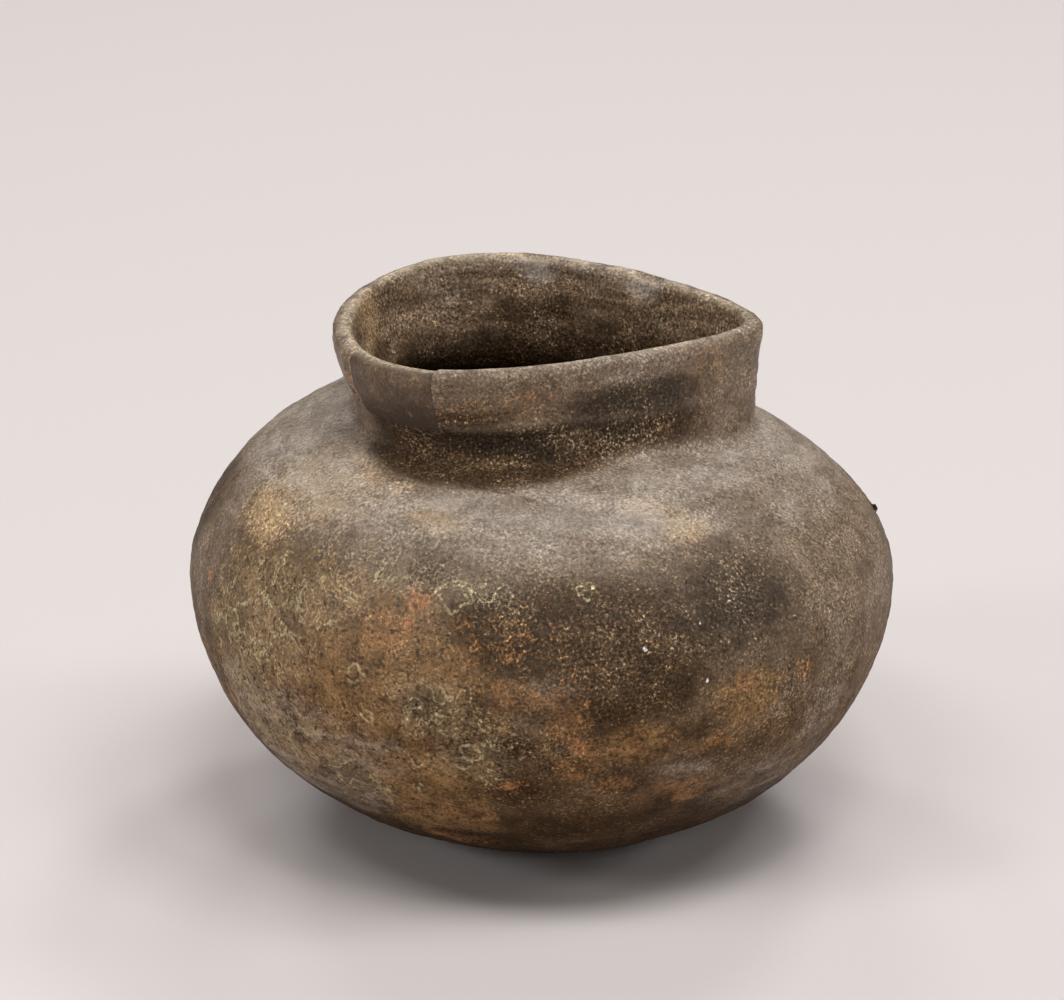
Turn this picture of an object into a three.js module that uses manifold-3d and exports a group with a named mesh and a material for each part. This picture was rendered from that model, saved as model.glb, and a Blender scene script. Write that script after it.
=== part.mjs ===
// Hand-built globular cooking pot of coarse, low-fired clay. A pinched base pat carries coils that were
// laid on course by course with scarfed joints, then a neck band and a rim band that was squeezed to an
// egg-shaped mouth. A modern fill restores a broken stretch of the rim.
// Millimetres, +Z up, origin at the centre of the flat foot, narrow end of the mouth at +X.
import * as THREE from "three";
import { mergeVertices } from "three/addons/utils/BufferGeometryUtils.js";
import Module from "manifold-3d";

// Body, as a turned outline before the mouth is squeezed
const bellyRadius = 89.5;
const bellyHeight = 67.4;
const footRadius = 19;
const shoulderRise = 53; // from the belly to where the shoulder curve would close over the axis
const undersideFullness = 2.08; // superellipse exponents: 2 is an ellipse, more is fuller
const shoulderFullness = 1.89;

// Neck and mouth, over the outside of the lip
const mouthLength = 107.3;
const mouthWidth = 100.5;
const mouthTaper = 0.49; // 0 is an oval, larger draws the +X end to a point
const mouthShiftX = 1.4;
const mouthShiftY = -0.5;
const neckFillet = 6.6; // how far the neck spreads in plan before it becomes the shoulder
const waistRise = 4.5; // from the end of the shoulder up to the narrowest ring of the neck
const rimRise = 22; // from that ring up to the top of the lip
const lipFlare = 1.2; // how far the lip overhangs that ring
const lipLean = 0.19; // slope of the neck's outer face at the lip, out per up
const rimBandHeight = 13;
const rimRidge = 0.8; // how far the smeared lower edge of the rim band stands proud of the neck
const ridgeFade = 6;

// What the hand left uneven
const squeezeReach = 52.5; // how far below the lip the squeeze of the mouth is felt
const rimLift = 2.5; // the far side of the rim is higher by this, the near side lower
const rimSaddle = 1.2; // the long sides of the rim rise by this, its two ends sink
const shoulderTilt = 3; // the -X shoulder stands higher by this, the +X shoulder lower
const neckPinch = 4; // the neck is drawn in by this under the rim, most towards pinchDirection
const pinchReach = 16.5; // how far above and below the waist of the neck that is felt
const pinchDirection = THREE.MathUtils.degToRad(-150);

// Clay
const baseThickness = 7.5;
const lipThickness = 5.5;
const baseReach = 62; // along the outside, from the foot's centre to the edge of the base pat
const bellyCoils = 4;
const shoulderCoils = 4;
const scarfLap = 4; // each joint climbs by this from the outside of the wall to the inside
const slipGap = 0.3; // bed of luting slip in every joint

// Restored stretch of the rim, as directions round the mouth
const fillCentre = THREE.MathUtils.degToRad(-136.5);
const fillSpan = THREE.MathUtils.degToRad(32);

// Fineness of the facets
const segments = 64;
const rowHeight = 9;
const lipSteps = 6;
const lineStep = 0.5;
const weldDistance = 1e-3;

// Sizes that follow from those above
const lipRadius = (mouthLength + mouthWidth) / 4;
const neckRadius = lipRadius - lipFlare;
const shoulderEndRadius = neckRadius + neckFillet;
const undersideDepth = bellyHeight / superellipse(footRadius / bellyRadius, undersideFullness);
const shoulderEndHeight =
  bellyHeight + shoulderRise * superellipse(shoulderEndRadius / bellyRadius, shoulderFullness);
const waistHeight = shoulderEndHeight + waistRise;
const rimHeight = waistHeight + rimRise;

function superellipse(across, fullness) {
  return Math.pow(1 - Math.pow(across, fullness), 1 / fullness);
}

// Quarter of a superellipse from the belly to a smaller radius, going up (rise > 0) or down (rise < 0)
function quarterArc(endRadius, rise, fullness) {
  const endAngle = Math.acos(Math.pow(endRadius / bellyRadius, fullness / 2));
  const steps = Math.ceil(Math.hypot(bellyRadius - endRadius, rise) / lineStep);
  const points = [];
  for (let i = 0; i <= steps; i++) {
    const angle = (endAngle * i) / steps;
    const radius = bellyRadius * Math.pow(Math.cos(angle), 2 / fullness);
    const height = bellyHeight + rise * Math.pow(Math.sin(angle), 2 / fullness);
    points.push(new THREE.Vector2(radius, height));
  }
  return points;
}

// Fillet from the shoulder to the upright waist, then the neck up to the outer edge of the lip. The
// pulls are the lengths of the curves' handles, as shares of the distance that each curve spans.
const filletPull = 0.45;
const neckPull = 0.38;

function neckLine(shoulder) {
  const start = shoulder.at(-1);
  const slope = start.clone().sub(shoulder.at(-2)).normalize();
  const waist = new THREE.Vector2(neckRadius, waistHeight);
  const lipEdge = new THREE.Vector2(lipRadius, rimHeight - lipThickness / 2);
  const upright = new THREE.Vector2(0, 1);
  const flared = new THREE.Vector2(lipLean, 1).normalize();
  const filletHandle = filletPull * start.distanceTo(waist);
  const neckHandle = neckPull * waist.distanceTo(lipEdge);
  const fillet = new THREE.CubicBezierCurve(
    start,
    start.clone().addScaledVector(slope, filletHandle),
    waist.clone().addScaledVector(upright, -filletHandle),
    waist,
  );
  const neck = new THREE.CubicBezierCurve(
    waist,
    waist.clone().addScaledVector(upright, neckHandle),
    lipEdge.clone().addScaledVector(flared, -neckHandle),
    lipEdge,
  );
  const pointsOn = (curve) => curve.getSpacedPoints(Math.ceil(curve.getLength() / lineStep)).slice(1);
  return [...pointsOn(fillet), ...pointsOn(neck)];
}

// Outside of the wall as one line, from the foot's centre to the lip, measured along its length
const foot = new THREE.LineCurve(new THREE.Vector2(0, 0), new THREE.Vector2(footRadius, 0));
const footPoints = foot.getPoints(Math.ceil(footRadius / lineStep)).slice(0, -1);
const underside = quarterArc(footRadius, -undersideDepth, undersideFullness).reverse();
const shoulder = quarterArc(shoulderEndRadius, shoulderRise, shoulderFullness).slice(1);
const wallLine = [...footPoints, ...underside, ...shoulder, ...neckLine(shoulder)];
const along = [0];
for (let i = 1; i < wallLine.length; i++) {
  along.push(along[i - 1] + wallLine[i].distanceTo(wallLine[i - 1]));
}
const lipStation = along.at(-1);
const bellyStation = along[footPoints.length + underside.length - 1];
const neckStation = along[footPoints.length + underside.length + shoulder.length - 1];
const rimStation = lipStation - rimBandHeight;

function outsideAt(station) {
  const s = THREE.MathUtils.clamp(station, 0, lipStation);
  const next = Math.max(1, along.findIndex((length) => length >= s));
  const share = (s - along[next - 1]) / (along[next] - along[next - 1]);
  return wallLine[next - 1].clone().lerp(wallLine[next], share);
}

// Outward direction of the wall, taken over a few millimetres so that corners stay gentle inside
function outwardAt(station) {
  const ahead = outsideAt(station + scarfLap);
  const behind = outsideAt(station - scarfLap);
  const run = ahead.sub(behind).normalize();
  return new THREE.Vector2(run.y, -run.x);
}

function wallAt(station) {
  return THREE.MathUtils.lerp(baseThickness, lipThickness, station / lipStation);
}

function insideAt(station) {
  if (station <= 0) return new THREE.Vector2(0, baseThickness);
  return outsideAt(station).addScaledVector(outwardAt(station), -wallAt(station));
}

function stationsBetween(from, to) {
  const rows = Math.max(2, Math.ceil(Math.abs(to - from) / rowHeight));
  return Array.from({ length: rows + 1 }, (_, i) => THREE.MathUtils.lerp(from, to, i / rows));
}

// Half of a slip joint, measured along the wall: a scarfed joint is cut across it at a slant
function jointSetback(station) {
  const wall = wallAt(station);
  return ((slipGap / 2) * Math.hypot(scarfLap, wall)) / wall;
}

// Closed section of one course between two joints, outer face first
function courseSection(from, to) {
  const low = from + jointSetback(from);
  const high = to - jointSetback(to);
  const outer = stationsBetween(low, high).map(outsideAt);
  const inner = stationsBetween(high + scarfLap, low + scarfLap).map(insideAt);
  return [...outer, ...inner, outer[0].clone()];
}

function basePatSection() {
  const high = baseReach - jointSetback(baseReach);
  const flat = stationsBetween(0, footRadius).map(outsideAt);
  const dish = stationsBetween(footRadius, high).slice(1).map(outsideAt);
  const inner = stationsBetween(high + scarfLap, 0).map(insideAt);
  return [...flat, ...dish, ...inner];
}

// The rim band ends in a rounded lip, and its lower edge stands proud of the neck
function rimBandSection() {
  const low = rimStation + jointSetback(rimStation);
  const outer = stationsBetween(low, lipStation).map((station) => {
    const fade = Math.max(0, 1 - (station - low) / ridgeFade);
    return outsideAt(station).addScaledVector(outwardAt(station), rimRidge * fade * fade);
  });
  const outward = outwardAt(lipStation);
  const upward = new THREE.Vector2(-outward.y, outward.x);
  const lipCentre = outsideAt(lipStation).addScaledVector(outward, -lipThickness / 2);
  const lip = [];
  for (let i = 1; i < lipSteps; i++) {
    const turn = (Math.PI * i) / lipSteps;
    const spoke = outward.clone().multiplyScalar(Math.cos(turn)).addScaledVector(upward, Math.sin(turn));
    lip.push(lipCentre.clone().addScaledVector(spoke, lipThickness / 2));
  }
  const inner = stationsBetween(lipStation, low + scarfLap).map(insideAt);
  return [...outer, ...lip, ...inner, outer[0].clone()];
}

function turned(section) {
  const geometry = new THREE.LatheGeometry(section, segments).rotateX(Math.PI / 2);
  return merged(geometry);
}

function merged(geometry) {
  geometry.deleteAttribute("normal");
  geometry.deleteAttribute("uv");
  return mergeVertices(geometry, weldDistance);
}

// Plan of the lip's outer edge: an oval whose +X half is drawn in towards a point
const widestCosine = (1 - Math.sqrt(1 + 8 * mouthTaper ** 2)) / (4 * mouthTaper);
const widestSine = Math.sqrt(1 - widestCosine ** 2) * (1 - mouthTaper * widestCosine);

function mouthOutline(angle) {
  const across = (Math.sin(angle) * (1 - mouthTaper * Math.cos(angle))) / widestSine;
  return new THREE.Vector2(
    (mouthLength / 2) * Math.cos(angle) + mouthShiftX,
    (mouthWidth / 2) * across + mouthShiftY,
  );
}

function pinchAt(angle, height) {
  const rise = THREE.MathUtils.clamp((height - waistHeight) / pinchReach, -1, 1);
  const facing = (1 + Math.cos(angle - pinchDirection)) / 2;
  return neckPinch * (Math.cos((Math.PI / 2) * rise) * facing) ** 2;
}

// Moves a turned piece to its place in the finished pot: the mouth is squeezed, the neck is drawn in,
// the rim waves and the shoulder leans. Inside and outside move together, so the wall keeps its
// thickness.
function shapedByHand(geometry) {
  const position = geometry.getAttribute("position");
  const point = new THREE.Vector3();
  for (let i = 0; i < position.count; i++) {
    point.fromBufferAttribute(position, i);
    const angle = Math.atan2(point.y, point.x);
    const squeeze = THREE.MathUtils.smoothstep(point.z, rimHeight - squeezeReach, rimHeight - lipThickness);
    const upper = THREE.MathUtils.clamp((point.z - bellyHeight) / (rimHeight - bellyHeight), 0, 1);
    const lean = Math.sin(Math.PI * upper) ** 2;
    const mouth = mouthOutline(angle);
    const pinch = pinchAt(angle, point.z);
    point.x += squeeze * (mouth.x - lipRadius * Math.cos(angle)) - pinch * Math.cos(angle);
    point.y += squeeze * (mouth.y - lipRadius * Math.sin(angle)) - pinch * Math.sin(angle);
    point.z += squeeze * (rimLift * Math.sin(angle) - rimSaddle * Math.cos(2 * angle));
    point.z -= lean * shoulderTilt * Math.cos(angle);
    position.setXYZ(i, point.x, point.y, point.z);
  }
  geometry.computeVertexNormals();
  return geometry;
}

const wasm = await Module();
wasm.setup();

function solidOf(geometry) {
  return new wasm.Manifold(
    new wasm.Mesh({
      numProp: 3,
      vertProperties: new Float32Array(geometry.getAttribute("position").array),
      triVerts: new Uint32Array(geometry.getIndex().array),
    }),
  );
}

function geometryOf(solid) {
  const mesh = solid.getMesh();
  const geometry = new THREE.BufferGeometry();
  geometry.setAttribute("position", new THREE.BufferAttribute(new Float32Array(mesh.vertProperties), 3));
  geometry.setIndex(new THREE.BufferAttribute(new Uint32Array(mesh.triVerts), 1));
  return geometry;
}

// Upright wedge over the broken stretch, with both sides moved out by a margin
function breakWedge(margin) {
  const reach = 2 * bellyRadius;
  const towards = (angle) => new THREE.Vector2(Math.cos(angle), Math.sin(angle));
  const apex = towards(fillCentre).multiplyScalar(-margin / Math.sin(fillSpan / 2));
  const outline = new THREE.Shape([
    apex,
    apex.clone().addScaledVector(towards(fillCentre - fillSpan / 2), reach),
    apex.clone().addScaledVector(towards(fillCentre + fillSpan / 2), reach),
  ]);
  return merged(new THREE.ExtrudeGeometry(outline, { depth: 2 * rimHeight, bevelEnabled: false }));
}

const firedClay = new THREE.MeshStandardMaterial({ color: 0x5f4c3d, roughness: 0.82, metalness: 0 });
const rimClay = new THREE.MeshStandardMaterial({ color: 0x544438, roughness: 0.8, metalness: 0 });
const fillPlaster = new THREE.MeshStandardMaterial({ color: 0x4d3d33, roughness: 0.7, metalness: 0 });

const pot = new THREE.Group();

function place(name, geometry, material) {
  const mesh = new THREE.Mesh(shapedByHand(geometry), material);
  mesh.name = name;
  pot.add(mesh);
}

function placeCoils(name, count, from, to) {
  for (let i = 0; i < count; i++) {
    const low = THREE.MathUtils.lerp(from, to, i / count);
    const high = THREE.MathUtils.lerp(from, to, (i + 1) / count);
    place(`${name}_${i + 1}`, turned(courseSection(low, high)), firedClay);
  }
}

place("base_pat", turned(basePatSection()), firedClay);
placeCoils("belly_coil", bellyCoils, baseReach, bellyStation);
placeCoils("shoulder_coil", shoulderCoils, bellyStation, neckStation);
place("neck_band", turned(courseSection(neckStation, rimStation)), rimClay);

const wholeRim = solidOf(turned(rimBandSection()));
const rimBand = wholeRim.subtract(solidOf(breakWedge(slipGap / 2)));
const rimFill = wholeRim.intersect(solidOf(breakWedge(-slipGap / 2)));
place("rim_band", geometryOf(rimBand), rimClay);
place("rim_fill", geometryOf(rimFill), fillPlaster);

export default pot;
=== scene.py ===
# %% [markdown]
# # A smoke-clouded clay pot
# The pot was pinched and coiled by hand, beaten round, wiped with a wet hand and fired in an open
# hearth. This lesson gives the measured solids their fired skin: one clay surface is shaped, sculpted
# and stained as a whole, then cut along the coil joints, so every course stays a piece of its own
# while the outside runs on unbroken, as the potter smeared it.

# %% Load the frame
import math

import bpy
import numpy as np
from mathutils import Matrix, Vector


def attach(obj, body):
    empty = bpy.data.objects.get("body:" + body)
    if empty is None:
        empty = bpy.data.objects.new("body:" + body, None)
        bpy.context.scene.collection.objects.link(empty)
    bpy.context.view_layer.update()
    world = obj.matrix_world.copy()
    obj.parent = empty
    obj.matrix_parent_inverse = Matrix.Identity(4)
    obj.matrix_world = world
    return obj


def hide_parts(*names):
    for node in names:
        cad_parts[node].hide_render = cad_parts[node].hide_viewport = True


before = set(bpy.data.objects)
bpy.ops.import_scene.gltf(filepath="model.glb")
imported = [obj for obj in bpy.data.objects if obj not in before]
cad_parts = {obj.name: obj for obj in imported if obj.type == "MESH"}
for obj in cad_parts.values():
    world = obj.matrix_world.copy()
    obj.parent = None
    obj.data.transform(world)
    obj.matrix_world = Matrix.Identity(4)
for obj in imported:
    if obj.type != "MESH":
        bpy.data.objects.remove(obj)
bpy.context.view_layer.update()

MM = 0.001
scene = bpy.context.scene
scene.view_settings.view_transform = "Standard"
bpy.ops.object.select_all(action="DESELECT")

# %% [markdown]
# ## Camera
# The photograph looks down on the pot by about twenty degrees with a long lens. The camera is set by
# the pixel where the middle of the pot appears. It is turned a little instead of shifting the lens, so
# the pot stays in the middle of every other view.

# %% Camera
photo_width = 1064
photo_height = 1000
lens_mm = 100
sensor_mm = 36
camera_distance = 0.759
camera_elevation = math.radians(20)
pot_middle = Vector((0, 0, 0.0645))
middle_pixel_x = 542.5
middle_pixel_y = 573

focal_pixels = lens_mm / sensor_mm * photo_width
camera_pitch = camera_elevation - math.atan((middle_pixel_y - photo_height / 2) / focal_pixels)
camera_yaw = math.atan((middle_pixel_x - photo_width / 2) / focal_pixels)
camera_back = Vector((0, -math.cos(camera_elevation), math.sin(camera_elevation)))
bpy.ops.object.camera_add(
    location=pot_middle + camera_distance * camera_back,
    rotation=(math.pi / 2 - camera_pitch, 0, camera_yaw),
)
camera = bpy.context.object
camera.name = "photo_camera"
camera.data.lens = lens_mm
camera.data.sensor_width = sensor_mm
scene.camera = camera
print("camera at", tuple(camera.location))

# %% [markdown]
# ## The section of the wall
# A potter's drawing of a pot is half a section: the outside line from the foot to the lip and the
# inside line back down. The sizes repeat those of the solids, in millimetres. The line could be drawn
# as a curve object, but a formula keeps the belly and the shoulder true superellipses.

# %% Section sizes
belly_radius = 89.5
belly_height = 67.4
foot_radius = 19
shoulder_rise = 53
underside_fullness = 2.08
shoulder_fullness = 1.89
mouth_length = 107.3
mouth_width = 100.5
mouth_taper = 0.49
mouth_shift_x = 1.4
mouth_shift_y = -0.5
neck_fillet = 6.6
waist_rise = 4.5
rim_rise = 22
lip_flare = 1.2
lip_lean = 0.19
lip_thickness = 5.5


def superellipse(across, fullness):
    return (1 - across**fullness) ** (1 / fullness)


lip_radius = (mouth_length + mouth_width) / 4
neck_radius = lip_radius - lip_flare
shoulder_end_radius = neck_radius + neck_fillet
underside_depth = belly_height / superellipse(foot_radius / belly_radius, underside_fullness)
shoulder_share = superellipse(shoulder_end_radius / belly_radius, shoulder_fullness)
shoulder_end_height = belly_height + shoulder_rise * shoulder_share
waist_height = shoulder_end_height + waist_rise
rim_height = waist_height + rim_rise
print("waist at", round(waist_height, 1), "mm, lip at", round(rim_height, 1), "mm")

# %% Outside line
line_steps = 400


def quarter_arc(end_radius, rise, fullness):
    end = math.acos((end_radius / belly_radius) ** (fullness / 2))
    turn = np.linspace(0, end, line_steps)
    radius = belly_radius * np.cos(turn) ** (2 / fullness)
    height = belly_height + rise * np.sin(turn) ** (2 / fullness)
    return np.column_stack([radius, height])


def bezier(p0, p1, p2, p3):
    t = np.linspace(0, 1, line_steps)[:, None]
    return (1 - t) ** 3 * p0 + 3 * (1 - t) ** 2 * t * p1 + 3 * (1 - t) * t**2 * p2 + t**3 * p3


def neck_line(start, slope):
    fillet_pull = 0.45
    neck_pull = 0.38
    waist = np.array([neck_radius, waist_height])
    lip_edge = np.array([lip_radius, rim_height - lip_thickness / 2])
    upright = np.array([0, 1])
    flared = np.array([lip_lean, 1]) / math.hypot(lip_lean, 1)
    fillet_handle = fillet_pull * np.linalg.norm(start - waist)
    neck_handle = neck_pull * np.linalg.norm(waist - lip_edge)
    fillet = bezier(start, start + slope * fillet_handle, waist - upright * fillet_handle, waist)
    neck = bezier(waist, waist + upright * neck_handle, lip_edge - flared * neck_handle, lip_edge)
    return np.vstack([fillet[1:], neck[1:]])


underside = quarter_arc(foot_radius, -underside_depth, underside_fullness)[::-1]
shoulder = quarter_arc(shoulder_end_radius, shoulder_rise, shoulder_fullness)
shoulder_step = shoulder[-1] - shoulder[-2]
neck = neck_line(shoulder[-1], shoulder_step / np.linalg.norm(shoulder_step))
wall_line = np.vstack([[[0, 0]], underside, shoulder[1:], neck])
step_lengths = np.linalg.norm(np.diff(wall_line, axis=0), axis=1)
along = np.concatenate([[0], np.cumsum(step_lengths)])
lip_station = along[-1]
belly_station = along[len(underside)]
neck_station = along[len(underside) + len(shoulder) - 1]
print("the outside is", round(lip_station, 1), "mm long from the foot's centre to the lip")

# %% Inside line
base_thickness = 7.5
scarf_lap = 4


def outside_at(station):
    station = np.clip(station, 0, lip_station)
    return np.column_stack([np.interp(station, along, wall_line[:, axis]) for axis in (0, 1)])


def outward_at(station):
    run = outside_at(station + scarf_lap) - outside_at(station - scarf_lap)
    run /= np.linalg.norm(run, axis=1)[:, None]
    return np.column_stack([run[:, 1], -run[:, 0]])


def inside_at(station):
    wall = base_thickness + (lip_thickness - base_thickness) * station / lip_station
    points = outside_at(station) - outward_at(station) * wall[:, None]
    points[station <= 0] = (0, base_thickness)
    return points


# %% [markdown]
# ## Courses
# The wall was raised from a base pat, coils, a neck band and a rim band. Each joint climbs from the
# outside to the inside, because a coil is pressed down and dragged over the one below. The rings of
# the mesh fall on these joints, so the skin can be cut along them later.

# %% Rings of the mesh, course by course
base_reach = 62
coils_below = 4
coils_above = 4
rim_band_height = 13
outer_row = 0.8
inner_row = 1.6
lip_rows = 12

rim_station = lip_station - rim_band_height


def coils(name, count, low, high):
    edges = np.linspace(low, high, count + 1)
    return [(f"{name}_{i + 1}", edges[i], edges[i + 1]) for i in range(count)]


courses = [
    ("base_pat", 0, base_reach),
    *coils("belly_coil", coils_below, base_reach, belly_station),
    *coils("shoulder_coil", coils_above, belly_station, neck_station),
    ("neck_band", neck_station, rim_station),
    ("rim_band", rim_station, lip_station),
]
course_names = [name for name, low, high in courses] + ["rim_fill"]


def row_stations(start, end, row):
    return np.linspace(start, end, math.ceil(abs(end - start) / row) + 1)[1:]


ring_points = np.zeros((1, 2))
ring_stations = np.zeros(1)
outer_rings = {}
inner_rings = {}


def add_rings(points, stations):
    global ring_points, ring_stations
    first = len(ring_points) - 1
    ring_points = np.vstack([ring_points, points])
    ring_stations = np.concatenate([ring_stations, stations])
    return first, len(ring_points) - 1


for name, low, high in courses:
    stations = row_stations(low, high, outer_row)
    outer_rings[name] = add_rings(outside_at(stations), stations)

lip_end = np.array([lip_station])
lip_outward = outward_at(lip_end)[0]
lip_upward = np.array([-lip_outward[1], lip_outward[0]])
lip_centre = outside_at(lip_end)[0] - lip_outward * lip_thickness / 2
lip_fullness = 2.5
lip_turn = np.linspace(0, math.pi, lip_rows + 1)[1:, None]
lip_across = np.sign(np.cos(lip_turn)) * np.abs(np.cos(lip_turn)) ** (2 / lip_fullness)
lip_up = np.abs(np.sin(lip_turn)) ** (2 / lip_fullness)
lip_spokes = lip_across * lip_outward + lip_up * lip_upward
lip_first, lip_last = add_rings(lip_centre + lip_spokes * lip_thickness / 2, np.full(lip_rows, lip_station))

for name, low, high in reversed(courses):
    start = min(high + scarf_lap, lip_station)
    end = low + scarf_lap if low > 0 else 0
    stations = row_stations(start, end, inner_row)
    inner_rings[name] = add_rings(inside_at(stations), stations)

ring_total = len(ring_points)
print(ring_total, "rings in", len(courses), "courses")

# %% [markdown]
# ## A ball pushed in
# A pinch pot starts as a ball with a thumb pushed into it, and the mesh can start the same way: a UV
# sphere whose lower pole becomes the foot and whose upper pole is pushed down through the mouth to
# become the floor inside. It has no seam to weld, and its faces already point out of the clay.

# %% Skin from a sphere
around = 400

bpy.ops.mesh.primitive_uv_sphere_add(segments=around, ring_count=ring_total - 1, calc_uvs=False)
skin = bpy.context.object
skin.name = "clay_skin"
vertex_total = len(skin.data.vertices)
ball = np.empty(vertex_total * 3)
skin.data.vertices.foreach_get("co", ball)
ball = ball.reshape(-1, 3)
ring = np.rint(np.arccos(np.clip(-ball[:, 2], -1, 1)) / math.pi * (ring_total - 1)).astype(np.int32)
angle = np.arctan2(ball[:, 1], ball[:, 0])
segment = np.rint(angle / (2 * math.pi) * around).astype(np.int32) % around
station = ring_stations[ring]
lip_crest = (lip_first + lip_last) / 2
indoors = ring > lip_crest
print("skin has", vertex_total, "points")

# %% Shape the skin by hand
# The mouth is squeezed to an egg, the neck is drawn in under the rim, most on the left, the rim waves
# and the shoulder leans, as on the solids.
squeeze_reach = 52.5
rim_lift = 2.5
rim_saddle = 1.2
shoulder_tilt = 3
neck_pinch = 4
pinch_reach = 16.5
pinch_direction = math.radians(-150)


def smoothstep(value, low, high):
    t = np.clip((value - low) / (high - low), 0, 1)
    return t * t * (3 - 2 * t)


widest_cosine = (1 - math.sqrt(1 + 8 * mouth_taper**2)) / (4 * mouth_taper)
widest_sine = math.sqrt(1 - widest_cosine**2) * (1 - mouth_taper * widest_cosine)


def shaped_by_hand(radius, height):
    mouth_x = mouth_length / 2 * np.cos(angle) + mouth_shift_x
    across = np.sin(angle) * (1 - mouth_taper * np.cos(angle)) / widest_sine
    mouth_y = mouth_width / 2 * across + mouth_shift_y
    squeeze = smoothstep(height, rim_height - squeeze_reach, rim_height - lip_thickness)
    upper = np.clip((height - belly_height) / (rim_height - belly_height), 0, 1)
    lean = np.sin(math.pi * upper) ** 2
    facing = (1 + np.cos(angle - pinch_direction)) / 2
    pinch_rise = np.clip((height - waist_height) / pinch_reach, -1, 1)
    pinch = neck_pinch * (np.cos(math.pi / 2 * pinch_rise) * facing) ** 2
    x = (radius - pinch) * np.cos(angle) + squeeze * (mouth_x - lip_radius * np.cos(angle))
    y = (radius - pinch) * np.sin(angle) + squeeze * (mouth_y - lip_radius * np.sin(angle))
    z = height + squeeze * (rim_lift * np.sin(angle) - rim_saddle * np.cos(2 * angle))
    z -= lean * shoulder_tilt * np.cos(angle)
    return np.column_stack([x, y, z])


def write_points(points):
    skin.data.vertices.foreach_set("co", (points * MM).ravel())
    skin.data.update()


def read_points():
    flat = np.empty(vertex_total * 3)
    skin.data.vertices.foreach_get("co", flat)
    return flat.reshape(-1, 3) / MM


write_points(shaped_by_hand(ring_points[ring, 0], ring_points[ring, 1]))

# %% [markdown]
# ## The unevenness of hand work
# Beating leaves shallow facets a few centimetres across, wiping leaves low horizontal ripples, and the
# coarse clay leaves a grainy skin. Displace modifiers do this with cloud textures, weighted so that
# the foot stays flat. The ripples read the clouds through a flattened empty, which stretches them
# round the pot.

# %% Facets, ripples and grain
facet_size = 38
facet_height = 2.0
ripple_size = 12
ripple_height = 0.7
ripple_flatness = 0.22
grain_size = 3.5
grain_height = 0.45
foot_fade = 15

fill_centre = math.radians(-136.5)
fill_span = math.radians(32)
fill_smoothness = 0.75
smooth_start = 0.85 * fill_span / 2
smooth_end = 0.97 * fill_span / 2
inside_firmness = 0.5

firm = smoothstep(station, foot_radius, foot_radius + foot_fade)
firm[indoors] = inside_firmness
off_fill = np.abs(np.mod(angle - fill_centre + math.pi, 2 * math.pi) - math.pi)
filled = 1 - smoothstep(off_fill, smooth_start, smooth_end)
filled *= smoothstep(station, rim_station - 2, rim_station + 4)
firm *= 1 - fill_smoothness * filled
firm_name = "firm"
firm_group = skin.vertex_groups.new(name=firm_name)
weight_levels = 10
for level in range(1, weight_levels + 1):
    members = np.flatnonzero(np.rint(firm * weight_levels).astype(int) == level)
    firm_group.add(members.tolist(), level / weight_levels, "REPLACE")

bpy.ops.object.empty_add()
ripple_frame = bpy.context.object
ripple_frame.scale = (1, 1, ripple_flatness)
bpy.context.view_layer.update()
bpy.ops.object.select_all(action="DESELECT")
bpy.context.view_layer.objects.active = skin
skin.select_set(True)


def roughen(name, size, height, octaves, frame_object=None):
    cloud = bpy.data.textures.new(name, "CLOUDS")
    cloud.noise_scale = size * MM
    cloud.noise_depth = octaves
    cloud.noise_basis = "IMPROVED_PERLIN"
    push = skin.modifiers.new(name, "DISPLACE")
    push.texture = cloud
    push.strength = height * MM
    push.vertex_group = firm_name
    push.texture_coords = "OBJECT" if frame_object else "LOCAL"
    push.texture_coords_object = frame_object
    bpy.ops.object.modifier_apply(modifier=push.name)


roughen("beaten_facets", facet_size, facet_height, 1)
roughen("wiped_ripples", ripple_size, ripple_height, 2, ripple_frame)
roughen("coarse_skin", grain_size, grain_height, 2)
bpy.data.objects.remove(ripple_frame)
skin.vertex_groups.clear()

# %% [markdown]
# ## Chips and pits
# Use has chipped the pot. Each mark is placed by its direction round the axis, in degrees, and its
# height, in millimetres, and measured along the wall. A sculpting brush would do the same by hand,
# but a list can be checked against the photograph.

# %% Distance from a mark
points = read_points()
normals = np.empty(vertex_total * 3, np.float32)
skin.data.vertex_normals.foreach_get("vector", normals)
normals = normals.reshape(-1, 3)
polar = np.arctan2(points[:, 1], points[:, 0])
reach = np.hypot(points[:, 0], points[:, 1])


def turn_from(azimuth):
    return np.mod(polar - math.radians(azimuth) + math.pi, 2 * math.pi) - math.pi


def distance_from(azimuth, height, half_width, half_height, inner=False):
    side = indoors == inner
    sideways = turn_from(azimuth) * reach
    off = np.where(side, sideways**2 + (points[:, 2] - height) ** 2, np.inf)
    upward = station - station[np.argmin(off)]
    return np.where(side, np.hypot(sideways / half_width, upward / half_height), np.inf)


# %% Chips, pits, tar drop and ridge
def press(azimuth, height, half_width, half_height, depth, inner=False):
    away = distance_from(azimuth, height, half_width, half_height, inner)
    hollow[:] += depth * (1 - smoothstep(away, 0.5, 1))


# Each mark gives its direction, height, half width, half height and depth. The last of them, the tar
# drop, stands out of the wall, so its depth is negative.
hollow = np.zeros(vertex_total)
press(92, 133.5, 5.5, 4.5, 1.3, inner=True)
press(43, 134, 6.5, 5.5, 1.5, inner=True)
press(150, 117, 2.6, 2.6, 1.8, inner=True)
press(-40, 65.8, 1.1, 1.1, 0.6)
press(-33, 49, 1.3, 1.6, 0.7)
press(-151, 119, 2.4, 2.4, 1.4)
press(-149, 127, 2.2, 3.4, 0.8)
press(-71, 31, 5, 1.6, 0.5)
press(0, 82, 1.5, 1.5, -1.0)

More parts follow.
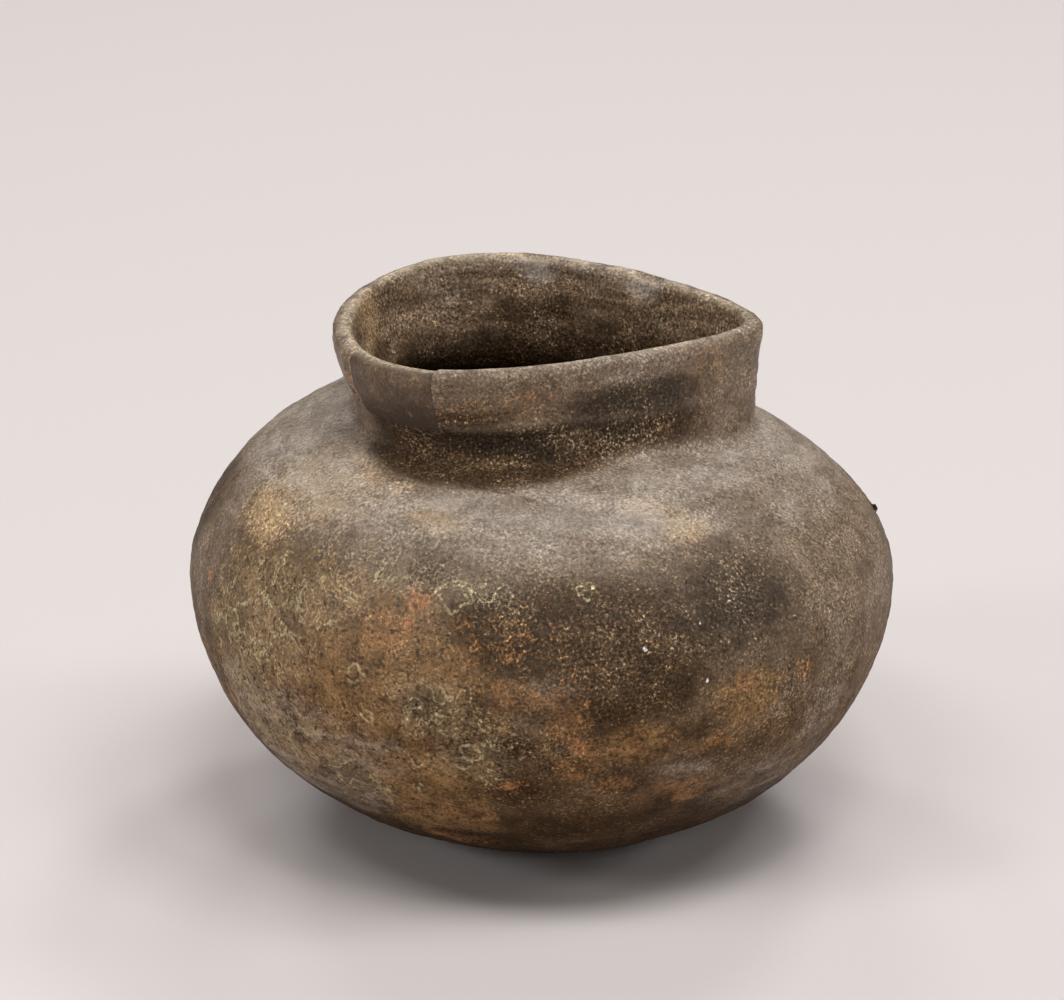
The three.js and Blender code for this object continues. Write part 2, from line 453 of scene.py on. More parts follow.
pit_total = 90
pits = np.random.default_rng(11)
for i in range(pit_total):
    pit_radius = pits.uniform(0.9, 1.7)
    press(pits.uniform(-180, 180), pits.uniform(18, 112), pit_radius, pit_radius, pits.uniform(0.2, 0.5))

smear_height = 1.2
smear_rest = 0.15
smear_middle = -99
smear_side = np.degrees(np.abs(turn_from(smear_middle)))
smear = smear_rest + (1 - smear_rest) * (1 - smoothstep(smear_side, 8, 20))
smear *= smoothstep(station, rim_station - 1.2, rim_station + 0.6)
smear *= 1 - smoothstep(station, rim_station + 0.6, rim_station + 5)
hollow -= smear_height * smear * ~indoors

write_points(points - normals * hollow[:, None])
print(pit_total, "small pits, deepest chip", round(hollow.max(), 2), "mm")

# %% [markdown]
# ## Stains
# Flames, soot and later the soil drew clouds on the clay. Each kind of stain is a list of soft spots
# (direction, height, half width, half height) that become a mask on the mesh. The finish breaks the
# masks up with noise, so the spots only say where a colour gathers. The side that the photograph
# doesn't show is stained in the same manner.
# Some masks also hold painted light: shade under the rim and the lip, sheen on the shoulder and highlights
# on the lip.

# %% Masks
def stain(spots, inner=False, edge=1.3):
    bare = np.ones(vertex_total)
    for azimuth, height, half_width, half_height in spots:
        bare *= smoothstep(distance_from(azimuth, height, half_width, half_height, inner), 0.25, edge)
    return 1 - bare


def store(name, mark):
    skin.data.attributes.new(name, "FLOAT", "POINT").data.foreach_set("value", mark.astype(np.float32))
    print(f"{name}: {np.mean(mark > 0.5):.1%} of the points")


# %% Fire colours
soft_edge = 1.6
rim_ochre_share = 0.5
inner_tan_share = 0.7
rust_haze_share = 0.3

ochre = [(-137, 80, 22, 12), (-124, 75, 26, 16), (-114, 78, 20, 12), (-130, 58, 26, 20)]
ochre += [(-113, 57, 24, 18), (-104, 70, 10, 10), (-109, 40, 18, 12), (-146, 62, 14, 20)]
ochre += [(-141, 46, 16, 12), (-133, 54, 12, 10), (-57, 62, 9, 7), (-75, 54, 10, 6), (-106, 27, 12, 6)]
ochre += [(40, 45, 24, 14), (98, 62, 22, 20), (150, 78, 18, 12), (-170, 48, 14, 16)]
rim_ochre = [(-104, 123, 18, 6), (-28, 124, 9, 6), (-112, 24, 18, 7)]
store("ochre", np.maximum(stain(ochre, edge=soft_edge), rim_ochre_share * stain(rim_ochre)))

tan = [(-141, 103, 22, 10), (-148, 95, 13, 8), (-111, 101, 8, 4), (-60, 97, 7, 5)]
tan += [(-67, 101, 7, 4), (-80, 113, 8, 4), (-107, 110, 8, 3), (70, 96, 14, 6)]
inner_tan = [(160, 127, 12, 12), (-170, 125, 9, 8)]
store("tan", stain(tan, edge=soft_edge) + inner_tan_share * stain(inner_tan, inner=True))

rust = [(-87, 64, 7, 5), (-86, 59, 6, 5), (-83, 54, 5, 4), (-85, 48, 8, 4), (-76, 56, 4, 3)]
rust += [(-77, 51, 5, 3), (-78, 42, 6, 3), (-67, 39, 8, 3), (-64, 35, 7, 4), (-62, 50, 4, 3)]
rust += [(-58, 66, 4, 3), (-46, 64, 4, 3), (-95, 42, 5, 3), (-102, 32, 9, 4), (-107, 20, 10, 5)]
rust += [(-115, 78, 9, 6), (-94, 67, 7, 5), (-92, 126, 7, 2)]
rust += [(52, 50, 9, 6), (120, 44, 10, 5), (160, 62, 7, 6)]
rust_haze = [(-92, 77, 12, 9), (-101, 79, 9, 7), (-88, 66, 9, 8)]
store("rust", np.maximum(stain(rust), rust_haze_share * stain(rust_haze, edge=soft_edge)))

salmon = [(-110, 86, 3.4, 3.4), (-157, 76, 1.6, 3), (-111, 81, 2, 1.5), (-84, 53.5, 2, 1.5)]
salmon += [(-95, 42, 2, 2), (-149, 124, 2.6, 6), (-152, 120, 2, 2.4)]
store("salmon", stain(salmon))

# %% Soot on the body, with painted shade under the rim and the lip
smoky_edge = 1.8
faint_soot_share = 0.4

# Most spots are fire clouds; those near 120 mm, under the rim and the lip, are painted shade.
soot_and_shade = [(-88, 85, 17, 7), (-77, 82, 18, 11), (-74, 75, 16, 10), (-81, 75, 11, 7), (-94, 78, 12, 8)]
soot_and_shade += [(-99, 84, 8, 6), (-107, 63, 5, 4), (-94, 53, 6, 4), (-94, 40, 9, 6), (-56, 84, 16, 13)]
soot_and_shade += [(-80, 63, 8, 5), (-72, 67, 9, 6), (-83, 27, 19, 10), (-60, 121, 18, 4.5), (-48, 120, 12, 4.5)]
soot_and_shade += [(-112, 120, 12, 3), (-100, 20, 16, 6)]
soot_and_shade += [(10, 70, 26, 20), (75, 50, 28, 18), (130, 84, 24, 12), (-178, 86, 14, 12)]
faint_soot = [(-134, 87, 10, 5), (-145, 72, 7, 7), (-107, 92, 12, 4), (-42, 95, 12, 5), (-47, 68, 13, 10)]
body_soot_and_shade = stain(soot_and_shade, edge=smoky_edge)
body_soot_and_shade = np.maximum(body_soot_and_shade, faint_soot_share * stain(faint_soot, edge=smoky_edge))

# Where carbon gathers, the soot turns from brown to grey; the spots under the rim and the lip are painted
# shade in the same grey.
grey_soot_and_shade = [(-56, 82, 18, 13), (-53, 121, 18, 5), (-92, 114, 30, 4)]
store("grey_soot_and_shade", stain(grey_soot_and_shade, edge=soft_edge))

# %% Painted shade round the neck, darkening under the pot and inside
# A band of painted shade hugs the front of the neck under the rim. Its lower edge is lowest left of the
# middle and climbs to both sides.
neck_shade_middle = -85
edge_lowest = -114
edge_climb = 11
left_climb = 1.1
neck_shade_share = 1.25
neck_side_loss = 0.85
low_darkening_share = 1.2
inside_lean = 0.06
inside_soot_share = 0.8

height_now = points[:, 2]
front_turn = np.degrees(np.abs(turn_from(neck_shade_middle)))
neck_front = 1 - neck_side_loss * smoothstep(front_turn, 42, 66)
edge_turn = np.degrees(turn_from(edge_lowest))
edge_turn = np.where(edge_turn > 0, edge_turn, -left_climb * edge_turn)
edge_rise = edge_climb * smoothstep(edge_turn, 6, 62)
neck_painted_shade = neck_shade_share * smoothstep(station - edge_rise, neck_station - 5, neck_station + 1)
neck_painted_shade *= 1 - smoothstep(station, rim_station - 1, rim_station + 5)
# The clay also turns darker towards the bottom.
low_darkening = low_darkening_share * (1 - smoothstep(height_now, 6, 34))
outer_darkening = (neck_painted_shade * neck_front + low_darkening) * ~indoors

inside_soot = [(100, 122, 8, 6), (84, 124, 7, 5), (158, 118, 9, 6), (130, 112, 9, 5)]
# Deeper inside the clay turns darker, and the edge of the dark rises a little towards the right.
inside_darkening = (1 - smoothstep(height_now - inside_lean * points[:, 0], 112, 127)) * indoors
inside_darkening = np.maximum(inside_darkening, inside_soot_share * stain(inside_soot, inner=True))
store("soot_and_shade", np.maximum.reduce([body_soot_and_shade, outer_darkening, inside_darkening]))

# %% Ash and painted sheen on the shoulder
shoulder_band_share = 0.7
thinner_share = 0.5
pale_and_lit_share = 0.42
inner_ash_share = 0.4
chip_ash_share = 0.8

# The grey of the shoulder is partly ash and partly a painted sheen from the light above.
ash_and_sheen = smoothstep(station, neck_station - 30, neck_station - 12) * ~indoors
ash_and_sheen_spots = [(-70, 99, 16, 5), (-106, 103, 20, 6), (-90, 101, 24, 7)]
ash_and_sheen = np.maximum(shoulder_band_share * ash_and_sheen, stain(ash_and_sheen_spots))
ash_and_sheen *= 1 - smoothstep(station - edge_rise, neck_station - 6, neck_station - 1)
thinner_ash_and_sheen = [(-38, 98, 26, 9), (-60, 93, 20, 6), (-128, 106, 14, 5), (-153, 108, 12, 6)]
ash_and_sheen *= 1 - thinner_share * stain(thinner_ash_and_sheen)
# Most pale spots are pale clay; those low on the body are a painted rim of light along the lower edge, and
# the one near the lip at 130 mm is a painted sheen.
pale_and_lit_spots = [(-130, 32, 16, 8), (-141, 34, 12, 10), (-144, 50, 14, 12), (-133, 53, 12, 8)]
pale_and_lit_spots += [(-132, 27, 10, 6), (-120, 47, 14, 7), (-57, 130, 16, 3.5), (-48, 34, 18, 11)]
pale_and_lit_spots += [(-67, 44, 10, 5), (-162, 96, 10, 9), (-38, 50, 9, 9)]
ash_and_sheen = np.maximum(ash_and_sheen, pale_and_lit_share * stain(pale_and_lit_spots, edge=smoky_edge))
ash_and_sheen += inner_ash_share * stain([(121, 127, 10, 5), (95, 137, 45, 3)], inner=True)
ash_and_sheen += chip_ash_share * stain([(92, 133.5, 5, 4), (43, 134, 6, 5)], inner=True)
store("ash_and_sheen", ash_and_sheen)

# %% Lime, dust and wear
lime = [(-140, 74, 24, 18), (-146, 62, 12, 18), (-144, 44, 10, 10), (-123, 40, 12, 7), (-120, 35, 8, 5)]
lime += [(-118, 90, 14, 5), (-106, 62, 14, 10), (-99, 88, 9, 4), (-100, 50, 12, 10)]
lime += [(-133, 48, 14, 10), (-126, 84, 14, 7), (60, 76, 18, 12)]
store("lime", stain(lime))

dust = [(-80, 114, 10, 5), (-106, 111, 10, 4), (-60, 112, 14, 4), (-118, 92, 20, 8)]
store("dust", stain(dust))

# The crest of the lip is lighter: partly worn clay, partly a painted highlight along the edge.
lip_wear_and_highlight = smoothstep(ring, lip_crest - 1.5, lip_crest + 1)
lip_wear_and_highlight *= 1 - smoothstep(ring, lip_crest + 2, lip_last)
store("wear_and_highlight", lip_wear_and_highlight)
store("inside", indoors * (1 - lip_wear_and_highlight))

# %% [markdown]
# ## Pieces
# The skin is cut along the joints: every course gets a material number of its own, the mesh is
# separated by material, and the open edges of each course are bridged through the thickness of the
# wall. The joint edges are marked sharp, so that the shading of the outside doesn't bend into the
# joint.

# %% Number the faces by course
face_total = len(skin.data.polygons)
face_starts = np.empty(face_total, np.int32)
corners = np.empty(len(skin.data.loops), np.int32)
skin.data.polygons.foreach_get("loop_start", face_starts)
skin.data.loops.foreach_get("vertex_index", corners)
face_ring = np.minimum.reduceat(ring[corners], face_starts)
face_segment = np.minimum.reduceat(segment[corners], face_starts)

course = np.zeros(face_total, np.int32)
rim_number = course_names.index("rim_band")
for number, (name, low, high) in enumerate(courses):
    for first, last in (outer_rings[name], inner_rings[name]):
        course[(face_ring >= first) & (face_ring < last)] = number
course[(face_ring >= lip_first) & (face_ring < lip_last)] = rim_number
fill_first = round((fill_centre - fill_span / 2) / (2 * math.pi) * around) % around
fill_last = round((fill_centre + fill_span / 2) / (2 * math.pi) * around) % around
in_fill = (course == rim_number) & (face_segment >= fill_first) & (face_segment < fill_last)
course[in_fill] = course_names.index("rim_fill")

skin.data.attributes.new("ring", "INT", "POINT").data.foreach_set("value", ring)
skin.data.attributes.new("course", "INT", "FACE").data.foreach_set("value", course)
skin.data.polygons.foreach_set("material_index", course)
for name in course_names:
    skin.data.materials.append(None)

bpy.ops.object.mode_set(mode="EDIT")
bpy.ops.mesh.separate(type="MATERIAL")
bpy.ops.object.mode_set(mode="OBJECT")
cut_pieces = [o for o in bpy.context.selected_objects if o.type == "MESH"]
print("cut into", len(cut_pieces), "pieces")


# %% Close the cut edges
def select_rings(mesh, rings):
    vertex_rings = np.empty(len(mesh.vertices), np.int32)
    mesh.attributes["ring"].data.foreach_get("value", vertex_rings)
    ends = np.empty(len(mesh.edges) * 2, np.int32)
    mesh.edges.foreach_get("vertices", ends)
    end_rings = vertex_rings[ends.reshape(-1, 2)]
    chosen = (end_rings[:, 0] == end_rings[:, 1]) & np.isin(end_rings[:, 0], rings)
    mesh.vertices.foreach_set("select", np.zeros(len(mesh.vertices), bool))
    mesh.polygons.foreach_set("select", np.zeros(len(mesh.polygons), bool))
    mesh.edges.foreach_set("select", chosen)


def bridge(piece, *rings):
    select_rings(piece.data, rings)
    bpy.ops.object.mode_set(mode="EDIT")
    bpy.ops.mesh.select_mode(type="EDGE")
    bpy.ops.mesh.mark_sharp()
    bpy.ops.mesh.bridge_edge_loops()
    bpy.ops.object.mode_set(mode="OBJECT")


def close(piece, name):
    bpy.ops.object.select_all(action="DESELECT")
    bpy.context.view_layer.objects.active = piece
    piece.select_set(True)
    course_name = "rim_band" if name == "rim_fill" else name
    if course_name != "base_pat":
        bridge(piece, outer_rings[course_name][0], inner_rings[course_name][1])
    if course_name != "rim_band":
        bridge(piece, outer_rings[course_name][1], inner_rings[course_name][0])
    bpy.ops.object.mode_set(mode="EDIT")
    bpy.ops.mesh.select_all(action="SELECT")
    if course_name == "rim_band":
        bpy.ops.mesh.fill_holes(sides=0)
        bpy.ops.mesh.select_all(action="SELECT")
    bpy.ops.mesh.normals_make_consistent(inside=False)
    bpy.ops.object.mode_set(mode="OBJECT")
    bpy.ops.object.shade_smooth_by_angle(angle=math.radians(50))


slots = {name: "fired_clay" for name in course_names}
slots |= {"neck_band": "rim_clay", "rim_band": "rim_clay", "rim_fill": "restoration_fill"}
pieces = {}
for piece in cut_pieces:
    name = course_names[piece.data.attributes["course"].data[0].value]
    close(piece, name)
    piece.name = name + "_skin"
    piece.data.name = piece.name
    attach(piece, "root")
    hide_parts(name)
    pieces[name] = piece
    print(piece.name, len(piece.data.polygons), "faces")

# %% [markdown]
# ## The restored stretch of rim
# The restorer smoothed the fill and ran it out level with the clay below and on the left. On the right
# it lies a little lower than the clay, so that edge shows as a fine upright step.

# %% Set the fill's right edge back
fill_setback = 0.35
setback_fade = 12
setback_rise = 6

fill = pieces["rim_fill"]
fill_total = len(fill.data.vertices)
fill_points = np.empty(fill_total * 3)
fill_normals = np.empty(fill_total * 3, np.float32)
fill.data.vertices.foreach_get("co", fill_points)
fill.data.vertex_normals.foreach_get("vector", fill_normals)
fill_points = fill_points.reshape(-1, 3) / MM
fill_normals = fill_normals.reshape(-1, 3)
right_end = fill_points[:, 0].max()
low_end = fill_points[:, 2].min()
setback = fill_setback * (1 - smoothstep(right_end - fill_points[:, 0], 0, setback_fade))
setback *= smoothstep(fill_points[:, 2], low_end, low_end + setback_rise)
fill_points -= fill_normals * setback[:, None]
fill.data.vertices.foreach_set("co", (fill_points * MM).ravel())
fill.data.update()
print(fill.name, "is set back by", fill_setback, "mm at its right edge")

# %% [markdown]
# ## Finishes
# The clay is one material for all the courses, because they were fired together: a taupe ground, the
# stains over it, a lime crust, and grain and grit on top. Colours are written as they look on a screen
# and turned to linear light. Patterns are given by their size in millimetres. An image could be painted
# instead, but patterns in space need no file and run round the pot without a seam.

# %% Node helpers
def srgb(hex_code):
    channels = [int(hex_code[i : i + 2], 16) / 255 for i in (1, 3, 5)]
    linear = [c / 12.92 if c <= 0.04045 else ((c + 0.055) / 1.055) ** 2.4 for c in channels]
    return (*linear, 1)


def new_material(name):
    material = bpy.data.materials.new(name)
    material.use_nodes = True
    return material


def add_node(kind, sockets, **settings):
    node = tree.nodes.new(kind)
    for key, value in settings.items():
        setattr(node, key, value)
    for key, value in sockets.items():
        if isinstance(value, bpy.types.NodeSocket):
            tree.links.new(value, node.inputs[key])
        else:
            node.inputs[key].default_value = value
    return node


def maths(operation, a, b=0.0):
    return add_node("ShaderNodeMath", {0: a, 1: b}, operation=operation).outputs[0]


def between(value, low, high):
    sockets = {"Value": value, "From Min": low, "From Max": high}
    return add_node("ShaderNodeMapRange", sockets, interpolation_type="SMOOTHSTEP").outputs["Result"]


def blend(factor, a, b):
    return add_node("ShaderNodeMix", {0: factor, 6: a, 7: b}, data_type="RGBA").outputs[2]


def clouds(size, detail, vector, roughness=0.5, distortion=0.0):
    sockets = {"Vector": vector, "Scale": 1 / (size * MM), "Detail": detail}
    sockets |= {"Roughness": roughness, "Distortion": distortion}
    return add_node("ShaderNodeTexNoise", sockets).outputs["Fac"]


def mask(name):
    return add_node("ShaderNodeAttribute", {}, attribute_name=name).outputs["Fac"]


def swing(noise, amount):
    return maths("MULTIPLY", maths("SUBTRACT", noise, 0.5), amount)


def two_tone(noise, low, high, dark, light):
    return blend(between(noise, low, high), srgb(dark), srgb(light))


def laid(under, cover, strength, paint):
    return blend(maths("MULTIPLY", cover, strength), under, paint)


def raised(mask_name, amount, start):
    return maths("ADD", maths("MULTIPLY", mask(mask_name), amount), start)


def eased(value, mask_name, amount):
    return maths("SUBTRACT", value, maths("MULTIPLY", mask(mask_name), amount))


def grained(under, depth):
    sockets = {0: under, "Scale": maths("POWER", math.e, depth)}
    return add_node("ShaderNodeVectorMath", sockets, operation="SCALE").outputs["Vector"]


# %% Clay: patterns
clay = new_material("smoke_clouded_earthenware")
tree = clay.node_tree
surface = tree.nodes["Principled BSDF"]
place = add_node("ShaderNodeTexCoord", {}).outputs["Object"]
height = add_node("ShaderNodeSeparateXYZ", {"Vector": place}).outputs["Z"]
flat_place = add_node("ShaderNodeMapping", {"Vector": place, "Scale": (1, 1, 5)}).outputs["Vector"]
other_part = (0.3, 0.7, 0.5)
other_place = add_node("ShaderNodeMapping", {"Vector": place, "Location": other_part}).outputs["Vector"]

patch = clouds(24, 3, place, 0.6)
mottle = clouds(7, 3, place, 0.7)
blotch = clouds(11, 4, other_place, 0.7)
streak = clouds(14, 2, flat_place, 0.6)
grain = clouds(1.8, 1, place, 1.0)
sand = clouds(0.7, 1, other_place, 0.8)
flake = clouds(1.4, 3, other_place, 0.85)
contour = clouds(9, 2, other_place, 0.5, 0.8)

dither = maths("ADD", swing(grain, 1.6), maths("ADD", swing(sand, 1.2), swing(mottle, 1.2)))


def broken(soft_mask, noise, amount, low=0.2, high=0.85, raggedness=1.0):
    ragged = maths("ADD", swing(noise, amount), maths("MULTIPLY", dither, raggedness))
    near_mask = between(soft_mask, 0.0, 0.4)
    return between(maths("ADD", soft_mask, maths("MULTIPLY", ragged, near_mask)), low, high)


speck_field = maths("ADD", swing(blotch, 0.6), maths("MULTIPLY", mask("dust"), 0.1))
speck_noise = maths("ADD", flake, swing(sand, 0.6))
pale_specks = between(maths("ADD", speck_noise, speck_field), 0.66, 0.86)
rough_places = between(maths("ADD", blotch, swing(patch, 0.5)), 0.36, 0.64)
dark_specks = between(maths("ADD", grain, swing(patch, -0.5)), 0.66, 0.76)
contour_fold = maths("ABSOLUTE", maths("SUBTRACT", maths("FRACT", maths("MULTIPLY", contour, 5)), 0.5))
contour_line = between(maths("ADD", contour_fold, swing(grain, 0.3)), 0.12, 0.02)
pinholes = maths("MULTIPLY", between(clouds(1.2, 0, place), 0.64, 0.72), mask("ochre"))

# %% Clay: fine marks
# Rings and dots are drawn by their distance from a point. Noise bends the place first, so that no ring
# is a true circle.
bend_size = 3 * MM
bend = add_node("ShaderNodeTexNoise", {"Vector": place, "Scale": 1 / bend_size, "Detail": 1})
bend_sockets = {0: bend.outputs["Color"], "Scale": bend_size}
bend_amount = add_node("ShaderNodeVectorMath", bend_sockets, operation="SCALE")
bent_place = add_node("ShaderNodeVectorMath", {0: place, 1: bend_amount.outputs["Vector"]})
half_bend = Vector((1, 1, 1)) * bend_size / 2


def distance_to(azimuth, height):
    nearest = np.argmin(distance_from(azimuth, height, 1, 1))
    middle = Vector(points[nearest] * MM) + half_bend
    sockets = {0: bent_place.outputs["Vector"], 1: middle}
    return add_node("ShaderNodeVectorMath", sockets, operation="DISTANCE").outputs["Value"]


def any_of(marks):
    together = marks[0]
    for mark in marks[1:]:
        together = maths("MAXIMUM", together, mark)
    return together


def ring_mark(azimuth, height, radius):
    line_width = 0.7 * MM
    off_line = maths("ABSOLUTE", maths("SUBTRACT", distance_to(azimuth, height), radius * MM))
    return between(off_line, line_width, 0.2 * line_width)


def dot_mark(azimuth, height, radius):
    return between(distance_to(azimuth, height), 1.2 * radius * MM, 0.6 * radius * MM)


lime_rings = [(-104, 88, 3.6), (-105, 60, 1.3), (-110, 47, 1.5), (-117, 58, 1.5), (-111, 40, 1.4)]
lime_rings += [(-119, 68, 2), (-101, 52, 2.4), (-83, 89, 1.8), (-147, 70, 3.4), (-139, 66, 2.8)]
ring_marks = any_of([ring_mark(*ring_place) for ring_place in lime_rings])
grit = [(-74.4, 77, 0.7), (-64.7, 68.4, 0.6), (-65, 80.2, 0.5), (-72, 79, 0.4)]
grit_marks = any_of([dot_mark(*dot_place) for dot_place in grit])
tar_drop = dot_mark(0, 82, 1.8)

# %% Clay: ground
uneven_height = maths("ADD", height, swing(patch, 40 * MM))
taupe = two_tone(mottle, 0.32, 0.68, "#6a5844", "#8a7661")
brown = two_tone(mottle, 0.32, 0.68, "#4f3c2a", "#755c40")
umber = two_tone(mottle, 0.32, 0.68, "#261a11", "#402c1c")
inner_colour = two_tone(streak, 0.36, 0.64, "#675441", "#8b745d")
colour = blend(between(uneven_height, 78 * MM, 46 * MM), taupe, brown)
colour = blend(between(uneven_height, 40 * MM, 16 * MM), colour, umber)
colour = blend(mask("inside"), colour, inner_colour)

# %% Clay: stains
ochre_colour = two_tone(mottle, 0.3, 0.7, "#664c31", "#94734b")
colour = laid(colour, broken(mask("ochre"), patch, 1.2, 0.1, 1.0), 0.9, ochre_colour)
colour = laid(colour, broken(mask("tan"), mottle, 0.6, 0.1, 1.1, 0.7), 0.65, srgb("#c9a87c"))
grey_soot_and_shade_colour = two_tone(blotch, 0.36, 0.64, "#2d2721", "#443b33")
soot_and_shade_colour = two_tone(blotch, 0.36, 0.64, "#342618", "#4c3926")
soot_and_shade_colour = laid(soot_and_shade_colour, mask("grey_soot_and_shade"), 0.8, grey_soot_and_shade_colour)
# Soot and the painted shade under the rim and the lip share these dark colours.
colour = laid(colour, broken(mask("soot_and_shade"), blotch, -1.2, 0.05, 1.1), 0.88, soot_and_shade_colour)
rust_colour = two_tone(mottle, 0.35, 0.65, "#6b4d31", "#986f49")
colour = laid(colour, broken(mask("rust"), mottle, 1.4, 0.1, 1.0), 0.65, rust_colour)
ash_and_sheen_colour = two_tone(streak, 0.34, 0.66, "#92867a", "#b3a698")
# Grey ash, with a painted sheen on the shoulder and near the lip.
colour = laid(colour, broken(mask("ash_and_sheen"), streak, 0.8, 0.05, 1.05, 0.3), 0.78, ash_and_sheen_colour)
# The lip's crest: wear and a painted highlight.
worn_and_highlit = maths("MULTIPLY", mask("wear_and_highlight"), between(mottle, 0.35, 0.6))
colour = laid(colour, worn_and_highlit, 0.8, srgb("#b5a287"))
colour = laid(colour, broken(mask("salmon"), mottle, 1.0), 0.55, srgb("#a8724c"))

# %% Clay: crust and specks
lime_film = broken(mask("lime"), mottle, 1.6)
lime_lines = maths("MULTIPLY", contour_line, lime_film)
lime_marks = maths("MAXIMUM", lime_lines, maths("MULTIPLY", ring_marks, between(grain, 0.36, 0.56)))
dark_marks = maths("MAXIMUM", maths("MULTIPLY", dark_specks, 0.5), maths("MULTIPLY", pinholes, 0.6))
colour = laid(colour, lime_film, 0.24, srgb("#8f826b"))
colour = laid(colour, lime_marks, 0.75, srgb("#b3a27c"))
colour = blend(dark_marks, colour, srgb("#2a2018"))
colour = laid(colour, pale_specks, 0.2, srgb("#ac9c7e"))
colour = blend(grit_marks, colour, srgb("#e6e2da"))
colour = blend(tar_drop, colour, srgb("#17130f"))

# %% Clay: grain
# The grain brightens and darkens the colour by a power of e, so it never turns black.
grain_depth = maths("ADD", maths("MULTIPLY", between(uneven_height, 15 * MM, 60 * MM), 0.6), 0.4)
grain_depth = maths("MULTIPLY", grain_depth, maths("ADD", maths("MULTIPLY", rough_places, 0.5), 0.75))
rougher = maths("MULTIPLY", raised("soot_and_shade", 0.55, 1), raised("inside", 0.25, 1))
grain_depth = maths("MULTIPLY", grain_depth, rougher)
grain_swing = maths("MULTIPLY", maths("ADD", swing(grain, 0.8), swing(sand, 3.2)), grain_depth)
calm = eased(eased(1.0, "ash_and_sheen", 0.5), "ochre", 0.25)
colour = grained(colour, maths("MULTIPLY", grain_swing, calm))
tree.links.new(colour, surface.inputs["Base Color"])

# %% Clay: sheen and relief
burnish = maths("ADD", maths("MULTIPLY", mask("ash_and_sheen"), 0.1), swing(grain, 0.25))
tree.links.new(maths("SUBTRACT", 0.54, burnish), surface.inputs["Roughness"])
polish = maths("MULTIPLY", between(uneven_height, 55 * MM, 95 * MM), 0.4)
matt = maths("SUBTRACT", 1.0, maths("MULTIPLY", maths("MAXIMUM", mask("soot_and_shade"), mask("inside")), 0.7))
gloss = maths("MULTIPLY", maths("ADD", polish, 0.05), matt)
tree.links.new(gloss, surface.inputs["Specular IOR Level"])
relief = maths("ADD", maths("MULTIPLY", grain, 0.8), maths("MULTIPLY", sand, 0.35))
relief_strength = eased(eased(1.0, "inside", 0.55), "ash_and_sheen", 0.45)
bump = add_node("ShaderNodeBump", {"Height": relief, "Distance": 0.5 * MM, "Strength": relief_strength})
tree.links.new(bump.outputs["Normal"], surface.inputs["Normal"])

# %% Restoration fill
plaster = new_material("tinted_restoration_plaster")
tree = plaster.node_tree
surface = tree.nodes["Principled BSDF"]
place = add_node("ShaderNodeTexCoord", {}).outputs["Object"]
fill_mottle = clouds(6, 6, place, 0.6)
fill_grain = clouds(0.9, 3, place, 0.6)
fill_sand = clouds(0.7, 1, place, 0.8)
fill_height = add_node("ShaderNodeSeparateXYZ", {"Vector": place}).outputs["Z"]
fill_specks = between(maths("ADD", maths("MULTIPLY", fill_mottle, 0.6), fill_grain), 0.9, 1.04)
# The worn lip of the fill also carries a painted highlight along the edge.
worn_and_highlit_lip = maths("MULTIPLY", mask("wear_and_highlight"), between(fill_grain, 0.3, 0.6))
fill_colour = two_tone(fill_mottle, 0.35, 0.65, "#4a3828", "#68533e")
# Painted shade: the fill darkens downwards into the painted shade under the rim.
fill_colour = blend(between(fill_height, 127 * MM, 117 * MM), fill_colour, srgb("#3b2c20"))
fill_colour = laid(fill_colour, fill_specks, 0.5, srgb("#a08c6c"))
fill_colour = blend(worn_and_highlit_lip, fill_colour, srgb("#b8a486"))
fill_colour = grained(fill_colour, swing(fill_sand, 2.0))
tree.links.new(fill_colour, surface.inputs["Base Color"])
surface.inputs["Roughness"].default_value = 0.62
bump = add_node("ShaderNodeBump", {"Height": fill_grain, "Distance": 0.2 * MM, "Strength": 0.6})
tree.links.new(bump.outputs["Normal"], surface.inputs["Normal"])

for name, piece in pieces.items():
    piece.data.materials.clear()
    piece.data.materials.append(plaster if name == "rim_fill" else clay)
print("finishes:", clay.name, "and", plaster.name)

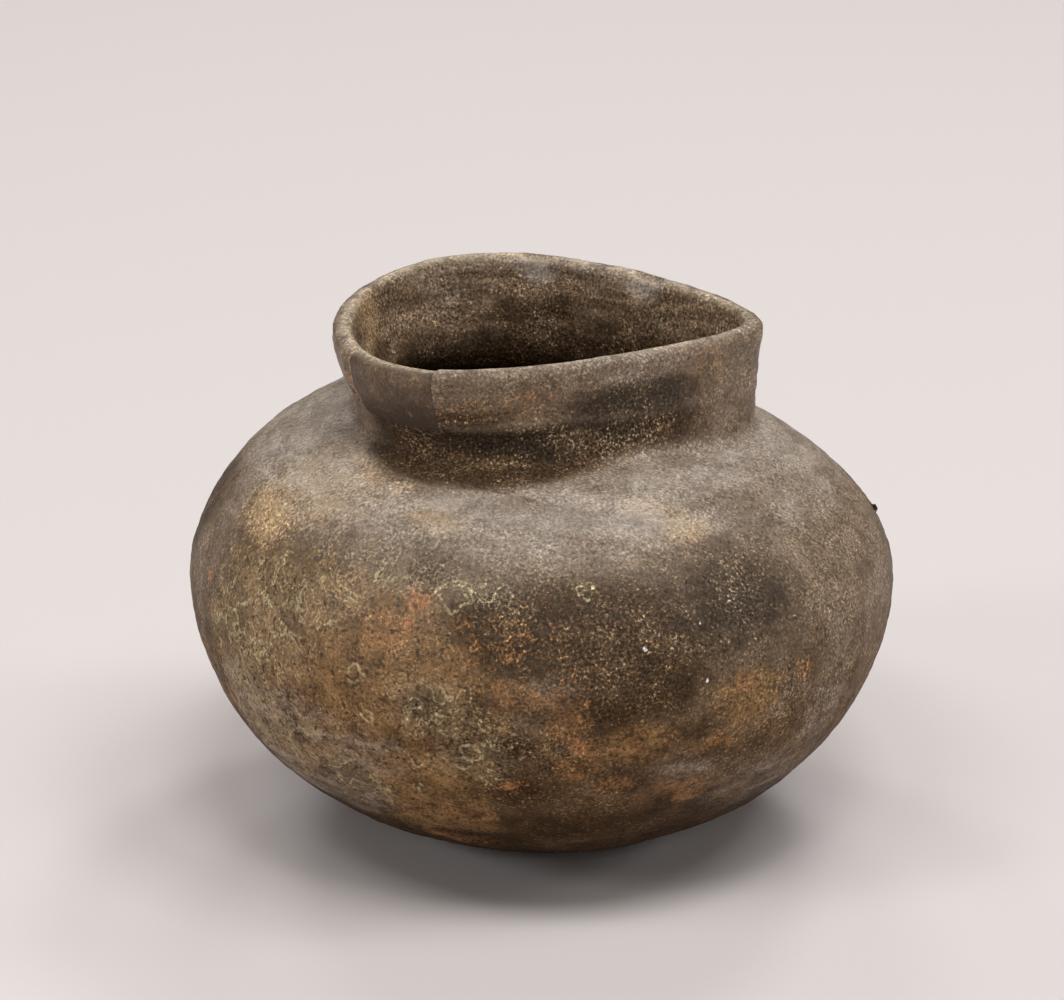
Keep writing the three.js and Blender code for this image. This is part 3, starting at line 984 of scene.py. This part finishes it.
# %% [markdown]
# ## Paper and light
# The pot stands on a wide sheet of pale paper. Its soft shadows fall to both sides and hardly forward,
# so ten softboxes stand round it: the two strongest above in front and on the right, weaker ones on the
# left, behind, and low down on three sides. Each is given by its direction and elevation in degrees, its
# power in watts and its width in metres. They started from the shadows in the photograph and are rounded
# to fives. A sky image would light the pot too, but lamps can be moved one by one.

# %% Paper
paper_radius = 6

bpy.ops.mesh.primitive_circle_add(vertices=128, radius=paper_radius, fill_type="NGON")
sheet = bpy.context.object
sheet.name = "paper_sheet"
paper = new_material("matt_paper")
paper_surface = paper.node_tree.nodes["Principled BSDF"]
paper_surface.inputs["Base Color"].default_value = srgb("#ddd6d4")
paper_surface.inputs["Roughness"].default_value = 0.95
paper_surface.inputs["Specular IOR Level"].default_value = 0.1
sheet.data.materials.append(paper)

# %% Softboxes
softbox_distance = 3.5
softbox_aim = Vector((0, 0, 0.06))


def softbox(name, azimuth, elevation, power, size=0.7):
    flat = math.cos(math.radians(elevation))
    turn = math.radians(azimuth)
    towards = Vector((flat * math.cos(turn), flat * math.sin(turn), math.sin(math.radians(elevation))))
    bpy.ops.object.light_add(type="AREA", location=softbox_aim + softbox_distance * towards)
    light = bpy.context.object
    light.name = name
    light.rotation_euler = (-towards).to_track_quat("-Z", "Y").to_euler()
    light.data.shape = "SQUARE"
    light.data.size = size
    light.data.energy = power


softbox("front_right_softbox", -30, 60, 35, 1.3)
softbox("front_softbox", -80, 65, 35, 1.0)
softbox("front_left_softbox", -125, 60, 15, 1.0)
softbox("back_softbox", 90, 35, 15)
softbox("back_right_softbox", 60, 50, 20)
softbox("back_left_softbox", 120, 40, 15)
softbox("left_softbox", -150, 55, 10)
softbox("low_left_softbox", -155, 25, 20)
softbox("low_front_softbox", -90, 25, 10)
softbox("low_right_softbox", 0, 25, 15)

world = bpy.data.worlds.new("dim_room")
scene.world = world
world.use_nodes = True
world.node_tree.nodes["Background"].inputs["Color"].default_value = srgb("#ffe2d0")
world.node_tree.nodes["Background"].inputs["Strength"].default_value = 0.055
